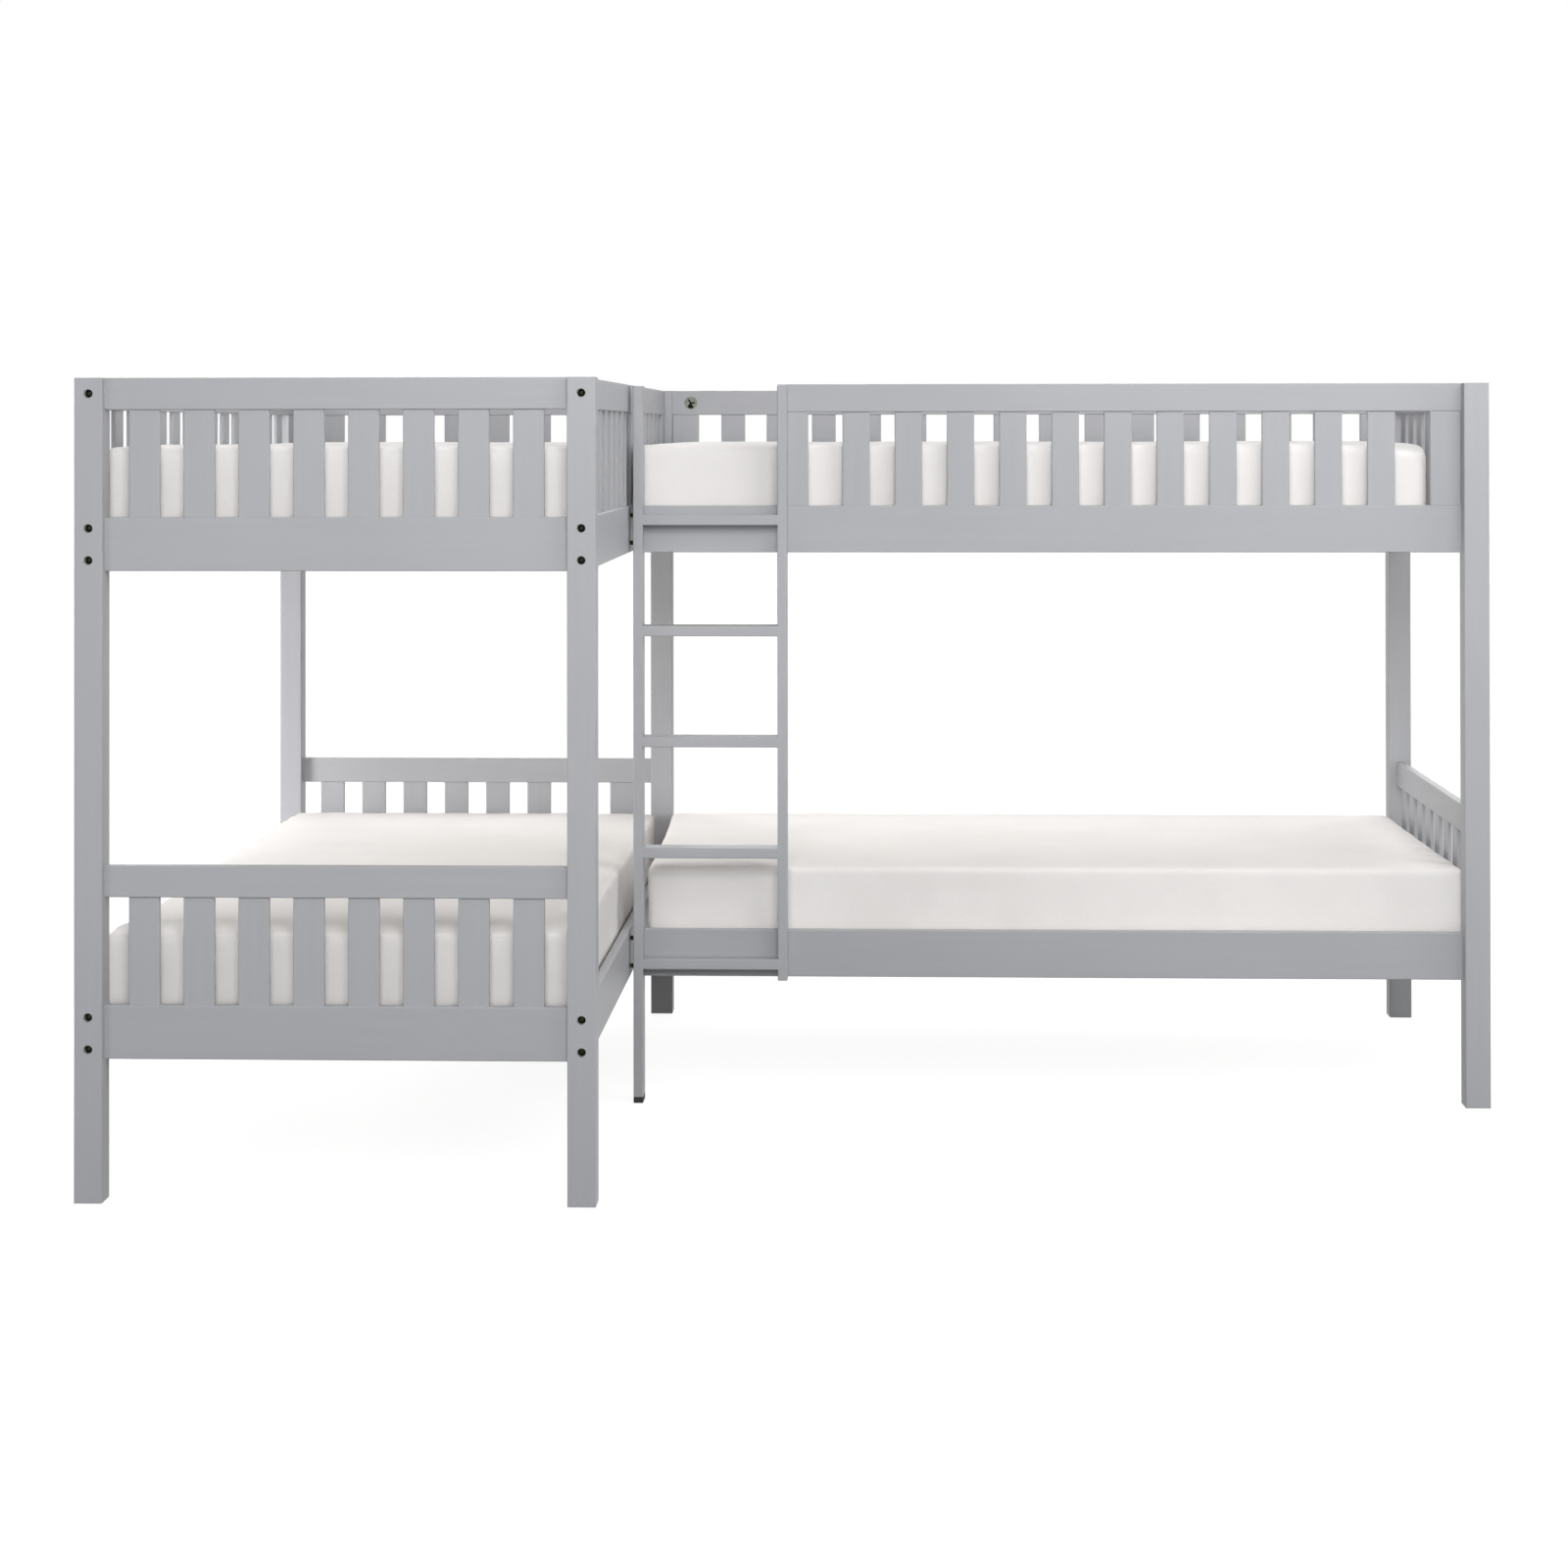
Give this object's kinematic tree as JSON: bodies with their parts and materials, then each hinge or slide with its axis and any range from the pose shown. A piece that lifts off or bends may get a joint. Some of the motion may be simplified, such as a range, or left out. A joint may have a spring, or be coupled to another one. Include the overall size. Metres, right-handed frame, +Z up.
{
  "type": "l shaped bunk bed",
  "caption": "L shaped bunk bed with a shared corner post, slatted ends and guards, bolted side rails, a fixed ladder and a mattress in every bunk.",
  "frame": {"origin": "centre of the overall footprint, on the floor", "axes": "+X along the right bunk, away from the left bunk; +Y to the back, along the left bunk; +Z up"},
  "size_m": [2.994, 2.004, 1.651],
  "materials": {
    "grey_paint": "solid wood under an even satin grey paint",
    "bare_wood": "planed, unpainted",
    "ticking": "plain white cover with sewn seams over foam",
    "dark_steel": "dark bronzed",
    "zinc": "dull zinc",
    "black_rubber": "matt"
  },
  "bodies": {
    "root": {"post_front_left": "grey_paint", "post_front_middle": "grey_paint", "post_rear_left": "grey_paint", "post_corner": "grey_paint", "post_front_right": "grey_paint", "post_rear_right": "grey_paint", "left_front_upper_top_rail": "grey_paint", "left_front_upper_slats": "grey_paint", "left_front_upper_lower_rail": "grey_paint", "left_front_lower_top_rail": "grey_paint", "left_front_lower_slats": "grey_paint", "left_front_lower_lower_rail": "grey_paint", "left_rear_upper_top_rail": "grey_paint", "left_rear_upper_slats": "grey_paint", "left_rear_upper_lower_rail": "grey_paint", "left_rear_lower_top_rail": "grey_paint", "left_rear_lower_slats": "grey_paint", "left_rear_lower_lower_rail": "grey_paint", "right_end_upper_top_rail": "grey_paint", "right_end_upper_slats": "grey_paint", "right_end_upper_lower_rail": "grey_paint", "right_end_lower_top_rail": "grey_paint", "right_end_lower_slats": "grey_paint", "right_end_lower_lower_rail": "grey_paint", "outer_guard_top_rail": "grey_paint", "outer_guard_slats": "grey_paint", "outer_upper_side_rail": "grey_paint", "outer_lower_side_rail": "grey_paint", "inner_guard_top_rail": "grey_paint", "inner_guard_slats": "grey_paint", "inner_upper_side_rail": "grey_paint", "inner_lower_side_rail": "grey_paint", "rear_guard_top_rail": "grey_paint", "rear_guard_slats": "grey_paint", "rear_upper_side_rail": "grey_paint", "rear_lower_side_rail": "grey_paint", "front_guard_top_rail": "grey_paint", "front_guard_slats": "grey_paint", "front_upper_side_rail": "grey_paint", "front_lower_side_rail": "grey_paint", "ladder_long_upright": "grey_paint", "ladder_short_upright": "grey_paint", "ladder_rungs": "grey_paint", "ladder_foot_pad": "black_rubber", "ladder_screws": "zinc", "bearer_strips": "bare_wood", "left_upper_base_boards": "bare_wood", "left_lower_base_boards": "bare_wood", "right_upper_base_boards": "bare_wood", "right_lower_base_boards": "bare_wood", "left_upper_mattress": "ticking", "left_lower_mattress": "ticking", "right_upper_mattress": "ticking", "right_lower_mattress": "ticking", "frame_bolts": "dark_steel", "barrel_nuts": "zinc", "cam_housings": "zinc", "cam_bolts": "zinc", "link_spacers": "dark_steel", "end_rail_dowels": "bare_wood"}
  },
  "joints": []
}
